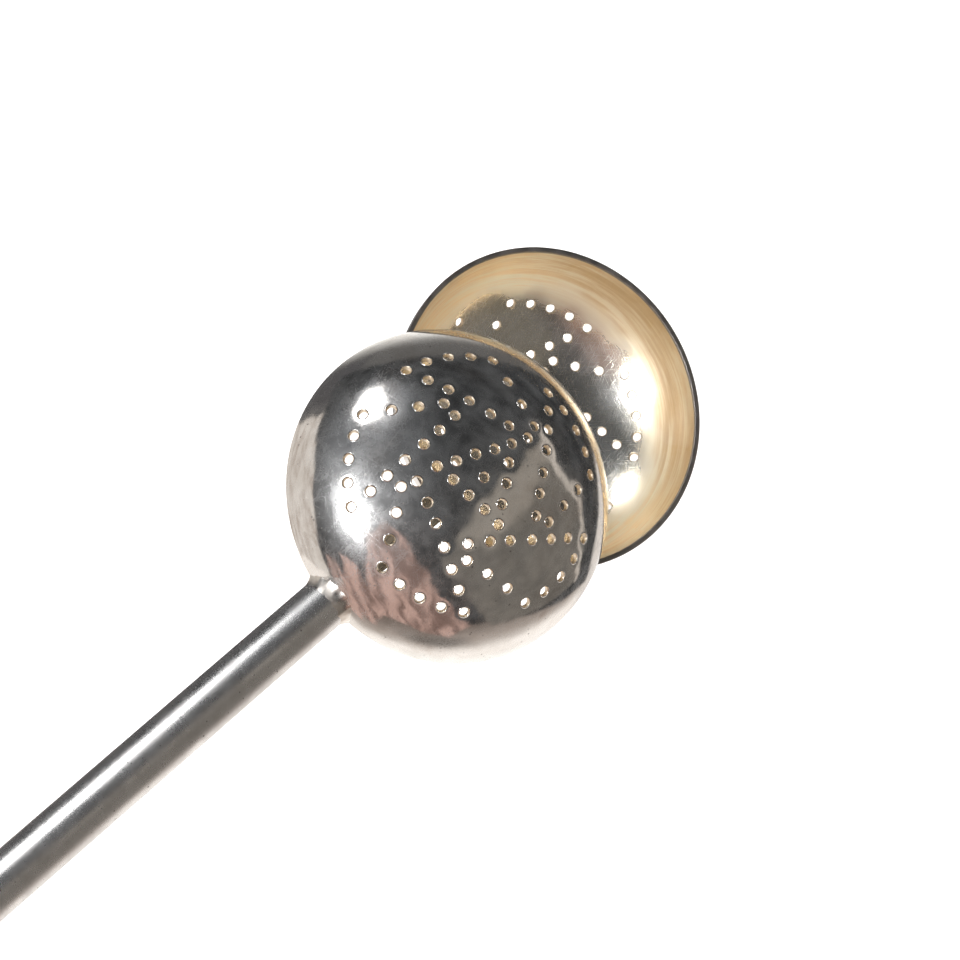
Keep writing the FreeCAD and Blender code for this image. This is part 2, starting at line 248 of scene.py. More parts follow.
def lattice_points(dome, centres, lip):
    """A triangular lattice on the unrolled dome, clear of the rim and the holes."""
    rows = int(dome.edge / ROW_HEIGHT) + 1
    points = []
    for j in range(-rows, rows + 1):
        shift = GRID / 2 if j % 2 else 0
        points += [(i * GRID + shift, j * ROW_HEIGHT) for i in range(-rows - 5, rows + 6)]
    points = np.array(points)
    points = points[np.hypot(*points.T) < dome.edge - RIM_BANDS[-1] - GRID / 2]
    gap = np.linalg.norm(points[:, None] - centres[None], axis=2).min(axis=1)
    return points[gap > lip + COLLARS[-1] + LATTICE_GAP]


def skin(dome, holes, lip):
    """One side of the cup: (points, triangles, hole loops, rim loop), with the holes left open."""
    centres = dome.unroll(np.array([h[0] for h in holes]))
    rim = circle(RIM_SIDES)[:, :2]
    loops = [dome.unroll(dome.ring(h, lip)) for h in holes] + [rim * dome.edge]
    bands = [rim * (dome.edge - d) for d in RIM_BANDS]
    collars = [dome.unroll(dome.ring(h, lip + extra)) for h in holes for extra in COLLARS]
    flat = np.concatenate(loops + bands + collars + [lattice_points(dome, centres, lip)])
    edges, spans, start = [], [], 0
    for loop in loops:
        count = len(loop)
        edges += [(start + i, start + (i + 1) % count) for i in range(count)]
        spans.append(range(start, start + count))
        start += count
    corners = [Vector(p) for p in flat.tolist()]
    verts, _, faces, origins, _, _ = delaunay_2d_cdt(corners, edges, [], 0, 1e-6)
    assert len(verts) == len(flat), "points of the cup's skin fell together"
    order = np.array([o[0] for o in origins])
    triangles = order[np.array(faces)]
    loop_of = np.full(len(flat), -1)
    for k, span in enumerate(spans[:-1]):
        loop_of[list(span)] = k
    owner = loop_of[triangles]
    filled = (owner == owner[:, :1]).all(axis=1) & (owner[:, 0] >= 0)
    return dome.lift(flat), triangles[~filled], spans[:-1], spans[-1]


def ripple(points):
    """The slight unevenness of a spun and hammered sheet, in millimetres."""
    shifts = (Vector((RIPPLE_SEED, 0, 0)), Vector((0, RIPPLE_SEED, 0)))
    heights = []
    for p in points:
        v = Vector(p)
        waves = [noise.noise((v + shift) / size) * height for shift, (size, height) in zip(shifts, RIPPLES)]
        heights.append(sum(waves))
    return np.array(heights)


def dent(points, holes, depth, reach):
    """How far the punch drew the sheet in round each hole."""
    centres = np.array([h[0] for h in holes])
    gap = np.linalg.norm(points[:, None] - centres[None], axis=2).min(axis=1)
    return depth * np.exp(-(((np.maximum(gap, HOLE_RADIUS) - HOLE_RADIUS) / reach) ** 2))


class Shell:
    """A cup's points, faces and material numbers as they are put together."""

    def __init__(self):
        self.points, self.faces, self.mats, self.count = [], [], [], 0

    def add(self, points):
        """Takes points and returns their numbers."""
        self.points.append(points)
        self.count += len(points)
        return list(range(self.count - len(points), self.count))

    def bridge(self, lower, upper, material):
        """A band of quads between two closed loops of the same count."""
        count = len(lower)
        for i in range(count):
            k = (i + 1) % count
            self.faces.append((lower[i], lower[k], upper[k], upper[i]))
            self.mats.append(material)


def add_skin(shell, side, dome, holes, lip, pull):
    """One side of the cup, rippled and dented: its hole loops as (numbers, points) and its rim loop."""
    lifted, triangles, hole_loops, rim_loop = skin(dome, holes, lip)
    push = ripple(lifted) - RIPPLE_TOP + dent(lifted, holes, *pull)
    fade = np.clip(lifted[:, 2] / CALM_BELOW, 0, 1)
    lifted = lifted + dome.normal(lifted) * (push * fade)[:, None]
    start = shell.count
    shell.add(lifted)
    turned = triangles if side == OUTSIDE else triangles[:, ::-1]
    shell.faces += [tuple(int(i) + start for i in face) for face in turned]
    shell.mats += [side] * len(turned)
    loops = [([i + start for i in span], lifted[list(span)]) for span in hole_loops]
    return loops, [i + start for i in rim_loop]


def add_hole(shell, hole, outside, inside):
    """The wall of one hole, with a rolled lip outside and a small one inside."""
    spoke, n = spokes(hole), hole[1][2]
    previous, above = outside
    lower, below = inside
    for step in range(1, LIP_STEPS + 1):
        bend = step * math.pi / 2 / LIP_STEPS
        row = shell.add(above - spoke * (HOLE_LIP * math.sin(bend)) - n * (HOLE_LIP * (1 - math.cos(bend))))
        shell.bridge(row, previous, EDGE)
        previous = row
    row = shell.add(below - spoke * INNER_LIP + n * INNER_LIP)
    shell.bridge(row, previous, EDGE)
    shell.bridge(lower, row, EDGE)


def add_rim(shell, outer_loop, inner_loop):
    """The cup's flat edge with its two rounded corners."""
    bends = [step * math.pi / 2 / RIM_STEPS for step in range(1, RIM_STEPS + 1)]
    round_off = [(RIM_ROUND * (1 - math.cos(b)), RIM_ROUND * (1 - math.sin(b))) for b in bends]
    profile = [(CUP_RADIUS - dr, z) for dr, z in round_off]
    profile += [(CUP_RADIUS - WALL + dr, z) for dr, z in reversed(round_off)]
    around = circle(RIM_SIDES)
    previous = outer_loop
    for r, z in profile:
        row = shell.add(around * r + np.array([0, 0, z]))
        shell.bridge(row, previous, RIM)
        previous = row
    shell.bridge(inner_loop, previous, RIM)


def cup_mesh(name, stand):
    """A perforated cup, set in the frame by the matrix stand."""
    outer = Dome(CUP_RADIUS, CUP_DEPTH, RIM_ROUND)
    inner = Dome(CUP_RADIUS - WALL, CUP_DEPTH - WALL, RIM_ROUND)
    holes = hole_frames(outer)
    shell = Shell()
    tops, outer_rim = add_skin(shell, OUTSIDE, outer, holes, HOLE_RADIUS + HOLE_LIP, DENT_OUTSIDE)
    bottoms, inner_rim = add_skin(shell, INSIDE, inner, holes, HOLE_RADIUS + INNER_LIP, DENT_INSIDE)
    for hole, outside, inside in zip(holes, tops, bottoms):
        add_hole(shell, hole, outside, inside)
    add_rim(shell, outer_rim, inner_rim)
    mesh = smooth_mesh(name, np.concatenate(shell.points) * MM, shell.faces)
    mesh.polygons.foreach_set("material_index", shell.mats)
    mesh.transform(stand)
    mesh.update()
    return mesh


def cup_matrix(pole_y, turn, y, z):
    columns = (Vector((0, 0, -1)), Vector((-pole_y, 0, 0)), Vector((0, pole_y, 0)))
    stand = Matrix(columns).transposed().to_4x4()
    return Matrix.Translation((0, y, z)) @ stand @ Matrix.Rotation(math.radians(turn), 4, "Z")


def smooth_mesh(name, points, faces):
    mesh = bpy.data.meshes.new(name)
    mesh.from_pydata([tuple(p) for p in points], [], faces)
    mesh.polygons.foreach_set("use_smooth", [True] * len(faces))
    mesh.update()
    return mesh


def show(name, data):
    """A new object in the scene with this mesh, light or camera."""
    obj = bpy.data.objects.new(name, data)
    bpy.context.scene.collection.objects.link(obj)
    return obj


# --------------------------------------------------------------------------------------------------
# Shader graphs
# --------------------------------------------------------------------------------------------------


class Graph:
    """A short way to write shader nodes. Inputs are numbers, tuples or sockets; scales are per metre."""

    def __init__(self, tree):
        self.tree = tree
        tree.nodes.clear()

    def add(self, kind, inputs=None, out=0, **props):
        """Adds a node. Gives its output of this number or name, or the node itself where out is None."""
        node = self.tree.nodes.new(kind)
        for key, value in props.items():
            setattr(node, key, value)
        for key, value in (inputs or {}).items():
            self.put(node.inputs[key], value)
        return node if out is None else node.outputs[out]

    def put(self, socket, value):
        if isinstance(value, bpy.types.NodeSocket):
            self.tree.links.new(value, socket)
        else:
            socket.default_value = value

    def math(self, operation, a, b=0.0, clamp=False):
        return self.add("ShaderNodeMath", {0: a, 1: b}, operation=operation, use_clamp=clamp)

    def plus(self, *terms):
        total = terms[0]
        for term in terms[1:]:
            total = self.math("ADD", total, term)
        return total

    def minus(self, a, b):
        return self.math("SUBTRACT", a, b)

    def times(self, a, b):
        return self.math("MULTIPLY", a, b)

    def length(self, a, b):
        """The length of the flat vector (a, b)."""
        return self.math("SQRT", self.plus(self.times(a, a), self.times(b, b)))

    def range(self, value, low, high, to_low=0.0, to_high=1.0, smooth=True):
        kind = "SMOOTHSTEP" if smooth else "LINEAR"
        inputs = {"Value": value, "From Min": low, "From Max": high, "To Min": to_low, "To Max": to_high}
        return self.add("ShaderNodeMapRange", inputs, interpolation_type=kind)

    def mix(self, factor, a, b, blend="MIX"):
        inputs = {0: factor, 6: rgba(a), 7: rgba(b)}
        return self.add("ShaderNodeMix", inputs, 2, data_type="RGBA", blend_type=blend)

    def dot(self, a, b):
        return self.add("ShaderNodeVectorMath", {0: a, 1: b}, "Value", operation="DOT_PRODUCT")

    def noise(self, vector, scale, detail=2.0, rough=0.5, distortion=0.0):
        inputs = {"Vector": vector, "Scale": scale, "Detail": detail, "Roughness": rough}
        return self.add("ShaderNodeTexNoise", {**inputs, "Distortion": distortion})

    def stretch(self, vector, scale, turn=(0, 0, 0), shift=(0, 0, 0)):
        inputs = {"Vector": vector, "Scale": scale, "Rotation": turn, "Location": shift}
        return self.add("ShaderNodeMapping", inputs)

    def join(self, x, y, z):
        return self.add("ShaderNodeCombineXYZ", {"X": x, "Y": y, "Z": z})

    def bump(self, height, strength, distance, normal=None):
        inputs = {"Height": height, "Strength": strength, "Distance": distance}
        if normal is not None:
            inputs["Normal"] = normal
        return self.add("ShaderNodeBump", inputs)


def rgba(value):
    return (*value, 1.0) if isinstance(value, tuple) and len(value) == 3 else value


def new_material(name):
    material = bpy.data.materials.new(name)
    material.use_nodes = True
    return material, Graph(material.node_tree)


def surface(graph, colour, roughness, normal, metallic=1.0, **others):
    inputs = {"Base Color": rgba(colour), "Roughness": roughness, "Normal": normal, "Metallic": metallic}
    shader = graph.add("ShaderNodeBsdfPrincipled", {**inputs, **others})
    graph.add("ShaderNodeOutputMaterial", {"Surface": shader}, out=None)


def object_place(g):
    """The shaded point in the object's own metres, and its x, y and z."""
    place = g.add("ShaderNodeTexCoord", out="Object")
    x, y, z = g.add("ShaderNodeSeparateXYZ", {"Vector": place}, out=None).outputs
    return place, x, y, z


def hairlines(g, place, count, length, width, seed):
    """Tapered hairline scratches in count directions: 1 on a line, 0 off it. place is flat, in metres."""
    total = 0.0
    for i in range(count):
        turn = (i + 0.37 * math.sin(5.0 * i + seed)) * math.pi / count
        inputs = {
            "Vector": place,
            "Location": (0.011 * i + seed, 0.007 * i, 0),
            "Rotation": (0, 0, turn),
            "Scale": (width, length, 1),
        }
        bent = g.add("ShaderNodeMapping", inputs, vector_type="TEXTURE")
        cells = {"Vector": bent, "Scale": 1.0}
        distance = g.add("ShaderNodeTexVoronoi", cells, "Distance", voronoi_dimensions="2D")
        total = g.math("MAXIMUM", total, g.range(distance, 0.02, 0.13, 1.0, 0.0))
    return total


def brushed(g, place, degrees, length, width):
    """Fine marks of one direction, as a polishing cloth leaves. place is flat, in metres."""
    turn = math.radians(degrees - 90)
    inputs = {"Vector": place, "Rotation": (0, 0, turn), "Scale": (width, length, 1)}
    return g.noise(g.add("ShaderNodeMapping", inputs, vector_type="TEXTURE"), 1.0, 4.0, 0.65)


def plate_scratches(g, place, x, z, wear):
    """Fine and long hairlines: wear on a line and 0 off it."""
    bend = g.times(g.noise(place, 180.0, 1.0), 0.0012)
    spread = g.join(g.plus(x, bend), z, 0.0)
    fine = hairlines(g, spread, 5, 0.0090, 0.00014, 0.3)
    long = hairlines(g, spread, 3, 0.0220, 0.00026, 1.1)
    return g.times(g.math("MAXIMUM", fine, long), wear)


def plate_specks(g, place):
    """1 on sparse specks and 0 elsewhere."""
    distance = g.add("ShaderNodeTexVoronoi", {"Vector": place, "Scale": 1500.0}, "Distance")
    sparse = g.range(g.noise(place, 700.0, 2.0), 0.54, 0.64)
    return g.times(g.range(distance, 0.10, 0.22, 1.0, 0.0), sparse)


def drawn_lines(g, x, y, z):
    """Faint lines along the handle, as drawing a tube leaves."""
    around = g.times(g.math("ARCTAN2", x, y), HANDLE_RADIUS)
    return g.noise(g.stretch(g.join(around, z, 0.0), (4200.0, 45.0, 1.0)), 1.0, 3.0, 0.6)


def plate_material(name, tones, roughness, haze_roughness, wear, groove_depth=0.0, drawn_gloss=0.0):
    """Old polished silver plate: hairlines, clouds of haze, brown tarnish in patches and dark specks."""
    bright, dull, tarnish = tones
    material, g = new_material(name)
    place, x, y, z = object_place(g)
    cloud = g.noise(place, 240.0, 4.0, 0.62, 0.4)
    grain = g.noise(place, 2600.0, 3.0, 0.6)
    lines = plate_scratches(g, place, x, z, wear)
    speck = plate_specks(g, place)
    patch = g.range(g.noise(place, 95.0, 5.0, 0.66, 0.8), 0.50, 0.74)
    stain = g.times(patch, 0.15 + 0.35 * wear)
    colour = g.mix(g.range(cloud, 0.35, 0.7), bright, dull)
    colour = g.mix(stain, colour, tarnish)
    colour = g.mix(g.times(speck, 0.8), colour, SPECK_COLOUR)
    rough = g.plus(
        g.range(cloud, 0.3, 0.75, roughness * 0.85, roughness * 1.25),
        g.times(lines, 0.10),
        g.times(g.range(grain, 0.5, 0.75), 0.06),
        g.times(stain, 0.15),
        g.times(speck, 0.3),
    )
    normal = g.bump(g.plus(g.times(lines, -0.22), g.times(grain, 0.3)), 0.35, 0.000005)
    normal = g.bump(cloud, 0.35, 0.00002 * wear, normal)
    if groove_depth:
        normal = g.bump(drawn_lines(g, x, y, z), 0.5, groove_depth, normal)
    haze = g.range(g.noise(place, 420.0, 5.0, 0.7, 0.3), 0.3, 0.70, 0.25, 1.0)
    haze = g.math("ADD", haze, g.times(lines, 0.25), True)
    coat = {"Coat Weight": haze, "Coat Roughness": haze_roughness, "Coat IOR": 3.3}
    if drawn_gloss:
        coat["Anisotropic"] = drawn_gloss
        coat["Tangent"] = g.add("ShaderNodeTangent", direction_type="RADIAL", axis="Z")
    surface(g, colour, rough, normal, **coat)
    return material


def gold_colour(g, flat, worn, streak, fine):
    """Pale gold with turned streaks, deeper at the rim; painted shade on one side; a cream painted highlight
    where it starts to wear.
    """
    gold = g.mix(g.range(streak, 0.38, 0.64), (0.97, 0.76, 0.45), (1.0, 0.92, 0.68))
    deep = g.times(g.range(worn, 16.6, 17.8), g.range(fine, 0.40, 0.65))
    gold = g.mix(g.times(deep, 0.7), gold, (0.80, 0.54, 0.25))
    # Painted shade: one side of the wall is darkened towards a deep brown gold.
    painted_side_shade = g.range(g.dot(flat, (-230.0, -970.0, 0.0)), 5.0, 16.0)
    painted_side_shade = g.times(painted_side_shade, g.range(streak, 0.38, 0.62, 0.9, 0.5))
    gold = g.mix(painted_side_shade, gold, (0.58, 0.38, 0.17))
    # Painted highlight: a cream ring where the gilding starts to wear.
    painted_highlight_ring = g.times(g.range(worn, 14.4, 15.2), g.range(worn, 16.6, 15.6))
    return g.mix(g.times(painted_highlight_ring, 0.6), gold, (1.0, 0.93, 0.72))


def gilt_normal(g, flat, radius, gilt, streak, fine, hatch):
    """Turned lines in the gilding, hairlines and cloth marks, and a step where the gilding ends."""
    turned = g.plus(g.times(streak, 0.7), g.times(fine, 0.6))
    cloth = brushed(g, flat, -38.0, 0.0030, 0.00010)
    height = g.plus(g.times(turned, gilt), g.times(hatch, -0.15), g.times(cloth, 0.30))
    normal = g.bump(height, 0.5, 0.00002)
    return g.bump(g.range(radius, 0.0138, 0.0164), 1.0, 0.00008, normal)


def gilt_material(name, axis_z):
    """A cup's inside: satin pale gilding on the wall, worn to bright silver round the cup's axis."""
    material, g = new_material(name)
    place, x, _, height = object_place(g)
    z = g.minus(height, axis_z)
    flat = g.join(x, z, 0.0)
    radius = g.length(x, z)
    radius_mm = g.times(radius, 1000.0)
    turned = g.join(radius_mm, g.times(g.math("ARCTAN2", z, x), 1.6), 0.0)
    streak = g.noise(g.stretch(turned, (2.6, 0.7, 1.0)), 1.0, 5.0, 0.62, 0.25)
    fine = g.noise(g.stretch(turned, (14.0, 1.6, 1.0)), 1.0, 3.0, 0.6)
    cloud = g.noise(place, 230.0, 5.0, 0.62, 0.7)
    worn = g.plus(radius_mm, g.range(g.noise(place, 160.0, 1.0), 0.25, 0.75, -0.7, 0.7))
    gilt = g.range(worn, 13.8, 16.2)
    bare = g.mix(g.range(cloud, 0.35, 0.65), (0.82, 0.78, 0.68), (0.92, 0.90, 0.84))
    # Painted reflection: the bare silver is tinted gold towards the gilding, standing in for the gilt wall
    # reflected in it.
    bare = g.mix(g.times(g.range(radius_mm, 12.0, 16.0), 0.8), bare, (0.90, 0.78, 0.56))
    colour = g.mix(gilt, bare, gold_colour(g, flat, worn, streak, fine))
    colour = g.mix(g.range(radius_mm, 18.38, 18.395), colour, RIM_COLOUR)
    hatch = hairlines(g, flat, 4, 0.0090, 0.00014, 0.7)
    satin = g.range(streak, 0.3, 0.7, 0.34, 0.52)
    polished = g.range(cloud, 0.3, 0.7, 0.16, 0.24)
    rough = g.plus(g.add("ShaderNodeMix", {0: gilt, 2: polished, 3: satin}), g.times(hatch, 0.16))
    normal = gilt_normal(g, flat, radius, gilt, streak, fine, hatch)
    metallic = g.range(gilt, 0.0, 1.0, 1.0, 0.72, False)
    coat = {"Coat Weight": g.range(cloud, 0.3, 0.7, 0.5, 1.0), "Coat Roughness": 0.45, "Coat IOR": 2.6}
    surface(g, colour, rough, normal, metallic, **coat)
    return material


def plain_metal(name, colour, dark, roughness, scale=900.0, along=1.0):
    """A turned or drawn metal with faint lines and a little colour change."""
    material, g = new_material(name)
    place = g.add("ShaderNodeTexCoord", out="Object")
    cloud = g.noise(place, 300.0, 4.0, 0.6, 0.3)
    drawn = g.noise(g.stretch(place, (1.0, 1.0, along)), scale, 3.0, 0.55)
    tone = g.mix(g.range(cloud, 0.35, 0.7), colour, dark)
    rough = g.range(drawn, 0.3, 0.7, roughness * 0.7, roughness * 1.4)
    surface(g, tone, rough, g.bump(drawn, 0.3, 0.00001))
    return material


# --------------------------------------------------------------------------------------------------
# Pieces
# --------------------------------------------------------------------------------------------------

silver = plate_material(
    "silver_plate",
    tones=((0.90, 0.885, 0.86), (0.78, 0.755, 0.72), (0.44, 0.35, 0.29)),
    roughness=0.055,
    haze_roughness=0.40,
    wear=1.0,
)
handle_silver = plate_material(
    "handle_plate",
    tones=((0.90, 0.885, 0.87), (0.76, 0.74, 0.72), (0.38, 0.32, 0.29)),
    roughness=0.27,
    haze_roughness=0.50,
    wear=0.2,
    groove_depth=0.000004,
    drawn_gloss=0.75,
)
edge_metal = plain_metal("hole_edge", (0.98, 0.88, 0.74), (0.90, 0.76, 0.58), 0.38)
rim_metal = plain_metal("cup_rim", (0.46, 0.43, 0.41), (0.36, 0.335, 0.32), 0.42)
solder_metal = plain_metal("solder", (0.93, 0.90, 0.85), (0.76, 0.69, 0.62), 0.36, 700.0)
brass_metal = plain_metal("brass", (0.78, 0.60, 0.32), (0.55, 0.38, 0.18), 0.25, 1200.0)
rod_metal = plain_metal("rod_steel", (0.62, 0.61, 0.60), (0.42, 0.40, 0.38), 0.25, 1500.0, 0.05)
pin_metal = plain_metal("pin_steel", (0.55, 0.55, 0.55), (0.36, 0.36, 0.36), 0.3, 1500.0)
spring_metal = plain_metal("spring_steel", (0.42, 0.44, 0.48), (0.26, 0.27, 0.30), 0.3, 1500.0)

NODE_METALS = {
    "handle_tube": handle_silver,
    "end_cap": handle_silver,
    "knob": handle_silver,
    "cup_solder": solder_metal,
    "rod_solder": solder_metal,
    "front_bush": brass_metal,
    "coupler": brass_metal,
    "slide_rod": rod_metal,
    "plunger_stem": rod_metal,
    "coupler_pins": pin_metal,
    "spring_rivet": pin_metal,
    "knob_pin": pin_metal,
    "friction_spring": spring_metal,
}
for node_name, metal in NODE_METALS.items():
    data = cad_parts[node_name].data
    data.materials.clear()
    data.materials.append(metal)


def make_cup(name, node_name, body, pole_y, turn):
    low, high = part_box(node_name)
    parting = high.y if pole_y < 0 else low.y
    axis_z = (low.z + high.z) / 2
    cup = show(name, cup_mesh(name, cup_matrix(pole_y, turn, parting, axis_z)))
    for metal in (silver, gilt_material(name + "_gilt", axis_z), edge_metal, rim_metal):
        cup.data.materials.append(metal)
    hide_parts(node_name)
    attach(cup, body)


def on_cup(place, cup_z):
    """Height of the fixed cup's front over a place on the plane z = 0, in millimetres."""
    return cup_z + CUP_RADIUS * math.sqrt(1 - (place.x / CUP_RADIUS) ** 2 - (place.y / CUP_DEPTH) ** 2)


def solder_section(out, front, cup_z):
    """The fillet's outline on the side that out points to: from the tube to the cup, and a hidden corner."""
    tube = HANDLE_RADIUS / MM
    lump = noise.noise(out * 3.1) + 0.5 * noise.noise(out * 8.3)
    spread = tube + SOLDER_SPREAD + 0.25 * noise.noise(out * 4.7 + Vector((5, 0, 0)))
    corner = on_cup(out * tube, cup_z)
    top = np.array([tube, front + SOLDER_RISE + 0.22 * lump])
    pull = np.array([tube + 0.17, corner + 0.25 + 0.15 * lump])
    foot = np.array([spread, on_cup(out * spread, cup_z) - 0.03])
    runs = np.linspace(0, 1, SOLDER_POINTS)
    outline = [(1 - t) ** 2 * top + 2 * t * (1 - t) * pull + t * t * foot for t in runs]
    outline.append((tube - 0.02, corner - 0.05))
    return [out * float(r) + Vector((0, 0, z)) for r, z in outline]


def make_solder():
    """A lumpy fillet where the tube's front end meets the fixed cup, on that cup's side."""
    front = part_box("handle_tube")[0].z / MM
    low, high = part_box("fixed_cup")
    cup_z = (low.z + high.z) / 2 / MM
    points, faces = [], []
    for i in range(SOLDER_SECTIONS + 1):
        angle = math.pi * i / SOLDER_SECTIONS
        points += solder_section(Vector((math.cos(angle), -math.sin(angle), 0)), front, cup_z)
    ring = SOLDER_POINTS + 1
    last = SOLDER_SECTIONS * ring
    for start in range(0, last, ring):
        for k in range(ring):
            n = (k + 1) % ring
            faces.append((start + k, start + n, start + ring + n, start + ring + k))
    faces.append(tuple(range(ring)))
    faces.append(tuple(last + k for k in reversed(range(ring))))
    mesh = smooth_mesh("solder_fillet", [p * MM for p in points], faces)
    mesh.set_sharp_from_angle(angle=SOLDER_CREASE)
    mesh.materials.append(solder_metal)
    fillet = show("solder_fillet", mesh)
    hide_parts("cup_solder")
    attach(fillet, "handle")


make_solder()
make_cup("fixed_cup_shell", "fixed_cup", "handle", -1, FIXED_CUP_TURN)
make_cup("sliding_cup_shell", "sliding_cup", "plunger", 1, SLIDING_CUP_TURN)


# --------------------------------------------------------------------------------------------------
# Floor, surroundings, light and camera
# --------------------------------------------------------------------------------------------------


def make_floor():
    """A white floor that is clear from below."""
    level = CAD_BOX[0].z - FLOOR_DROP
    mesh = bpy.data.meshes.new("floor")
    corners = [(x * FLOOR_HALF, y * FLOOR_HALF, level) for x, y in ((-1, -1), (1, -1), (1, 1), (-1, 1))]
    mesh.from_pydata(corners, [], [(0, 1, 2, 3)])
    floor = show("floor", mesh)
    material, g = new_material("floor_white")
    under = g.add("ShaderNodeNewGeometry", out="Backfacing")
    white = g.add("ShaderNodeBsdfDiffuse", {"Color": FLOOR_WHITE})
    clear = g.add("ShaderNodeBsdfTransparent")
    either = g.add("ShaderNodeMixShader", {0: under, 1: white, 2: clear})
    g.add("ShaderNodeOutputMaterial", {"Surface": either}, out=None)
    mesh.materials.append(material)
    floor.visible_glossy = False


def soft_disc(g, x, y, centre, size, inner, outer):
    """1 inside an ellipse and 0 outside it, with a soft edge; inner and outer are fractions of its size."""
    dx = g.math("DIVIDE", g.minus(x, centre[0]), size[0])
    dy = g.math("DIVIDE", g.minus(y, centre[1]), size[1])
    return g.range(g.length(dx, dy), inner, outer, 1.0, 0.0)


def soft_polygon(g, x, y, corners, soft):
    """1 inside a convex polygon, given clockwise, and 0 outside it; the edge fades over soft degrees."""
    inside = None
    for (x0, y0), (x1, y1) in zip(corners, corners[1:] + corners[:1]):
        length = math.hypot(x1 - x0, y1 - y0)
        nx, ny = (y1 - y0) / length, (x0 - x1) / length
        depth = g.minus(g.plus(g.times(x, nx), g.times(y, ny)), x0 * nx + y0 * ny)
        inside = depth if inside is None else g.math("MINIMUM", inside, depth)
    return g.range(inside, -soft, soft)


def soft_stroke(g, x, y, points, inner, outer):
    """1 within inner degrees of a bent line and 0 beyond outer degrees."""
    nearest = None
    for (x0, y0), (x1, y1) in zip(points, points[1:]):
        dx, dy = x1 - x0, y1 - y0
        squared = dx * dx + dy * dy
        px, py = g.minus(x, x0), g.minus(y, y0)
        run = g.math("ADD", g.times(px, dx / squared), g.times(py, dy / squared), True)
        away = g.length(g.minus(px, g.times(run, dx)), g.minus(py, g.times(run, dy)))
        nearest = away if nearest is None else g.math("MINIMUM", nearest, away)
    return g.range(nearest, inner, outer, 1.0, 0.0)


def soft_box(g, x, y, x0, x1, y0, y1, soft):
    return soft_polygon(g, x, y, [(x0, y0), (x0, y1), (x1, y1), (x1, y0)], soft)


def world_directions(g):
    """Degrees across and up from CAMERA_BACK, slightly wavy, and the direction itself."""
    way = g.add("ShaderNodeTexCoord", out="Generated")
    right = g.dot(way, tuple(CAMERA_RIGHT))
    up = g.dot(way, tuple(CAMERA_UP))
    back = g.dot(way, tuple(CAMERA_BACK))
    angle = g.times(g.math("ARCCOSINE", back), 180 / math.pi)
    side = g.math("MAXIMUM", g.math("SQRT", g.minus(1.0, g.times(back, back))), 0.001)
    x = g.times(g.math("DIVIDE", right, side), angle)
    y = g.times(g.math("DIVIDE", up, side), angle)
    other = g.stretch(way, (1, 1, 1), shift=(3, 1, 2))
    sway, lift = (g.range(g.noise(v, 2.6, 3.0, 0.6), 0.2, 0.8, -5.0, 5.0, False) for v in (way, other))
    return g.plus(x, sway), g.plus(y, lift), way


def walls(g, x, y):
    """Pale all round, falling off to brown below the dim room and to grey above it."""
    slope = g.minus(y, g.times(g.math("MAXIMUM", g.minus(x, 15.0), 0.0), 0.32))
    below = g.mix(g.range(slope, -114.0, -86.0), (1.14, 1.07, 1.01), (0.42, 0.36, 0.32))
    below = g.mix(g.range(slope, -90.0, -66.0), below, (0.17, 0.14, 0.12))
    below = g.mix(g.range(y, -134.0, -112.0), PALE_WALL, below)
    above = g.mix(g.range(y, 152.0, 108.0), PALE_WALL, (0.13, 0.125, 0.12))
    colour = g.mix(g.range(y, -20.0, 20.0), below, above)
    colour = g.mix(g.range(x, 112.0, 130.0), colour, (0.84, 0.78, 0.73))
    return g.mix(g.range(x, 140.0, 156.0), colour, PALE_WALL)


def add_left_wall(g, x, y, mottle, colour):
    """Pale at its foot, beige above that, and a dark band over it."""
    pale = g.times(g.range(x, -58.0, -76.0), g.range(y, 0.0, -30.0))
    colour = g.mix(pale, colour, (1.0, 0.93, 0.87))
    beige = g.mix(g.range(mottle, 0.40, 0.66), (0.76, 0.71, 0.66), (0.50, 0.43, 0.38))
    colour = g.mix(soft_box(g, x, y, -152.0, -66.0, -46.0, 64.0, 2.0), colour, beige)
    return g.mix(soft_box(g, x, y, -140.0, -40.0, 68.0, 112.0, 8.0), colour, (0.085, 0.082, 0.085))


def add_dim_room(g, x, y, mottle, colour):
    charcoal = g.mix(g.range(mottle, 0.38, 0.68), (0.026, 0.027, 0.028), (0.085, 0.087, 0.090))
    glow = soft_disc(g, x, y, (-24.0, 30.0), (62.0, 66.0), 0.15, 1.0)
    charcoal = g.mix(g.times(glow, 0.8), charcoal, (0.150, 0.156, 0.165))
    return g.mix(soft_box(g, x, y, -66.0, 126.0, -60.0, 94.0, 3.0), colour, charcoal)


def add_cloth(g, x, y, mottle, colour):
    """A brown cloth in folds at the right, with a pale edge."""
    brown = g.mix(g.range(mottle, 0.35, 0.65), (0.200, 0.182, 0.160), (0.140, 0.129, 0.115))
    colour = g.mix(soft_polygon(g, x, y, CLOTH, 1.6), colour, brown)
    fold = g.times(soft_polygon(g, x, y, CLOTH_FOLD, 3.0), 0.85)
    colour = g.mix(fold, colour, (0.34, 0.305, 0.265))
    return g.mix(soft_stroke(g, x, y, CLOTH_HEM, 1.0, 3.2), colour, (0.62, 0.56, 0.50))


def add_drapes(g, x, y, colour):
    """Warm pinkish drapes low down, with shade under them."""
    pleat = g.noise(g.stretch(g.join(x, y, 0.0), (0.13, 0.035, 1.0), (0, 0, 0.5)), 1.0, 3.0, 0.5)
    drape = g.mix(g.range(pleat, 0.38, 0.60), (0.60, 0.40, 0.34), (0.19, 0.12, 0.10))
    for corners in DRAPES:
        colour = g.mix(soft_polygon(g, x, y, corners, 1.6), colour, drape)
    shade = soft_disc(g, x, y, (8.0, -86.0), (34.0, 14.0), 0.2, 1.1)
    return g.mix(shade, colour, (0.16, 0.145, 0.13))


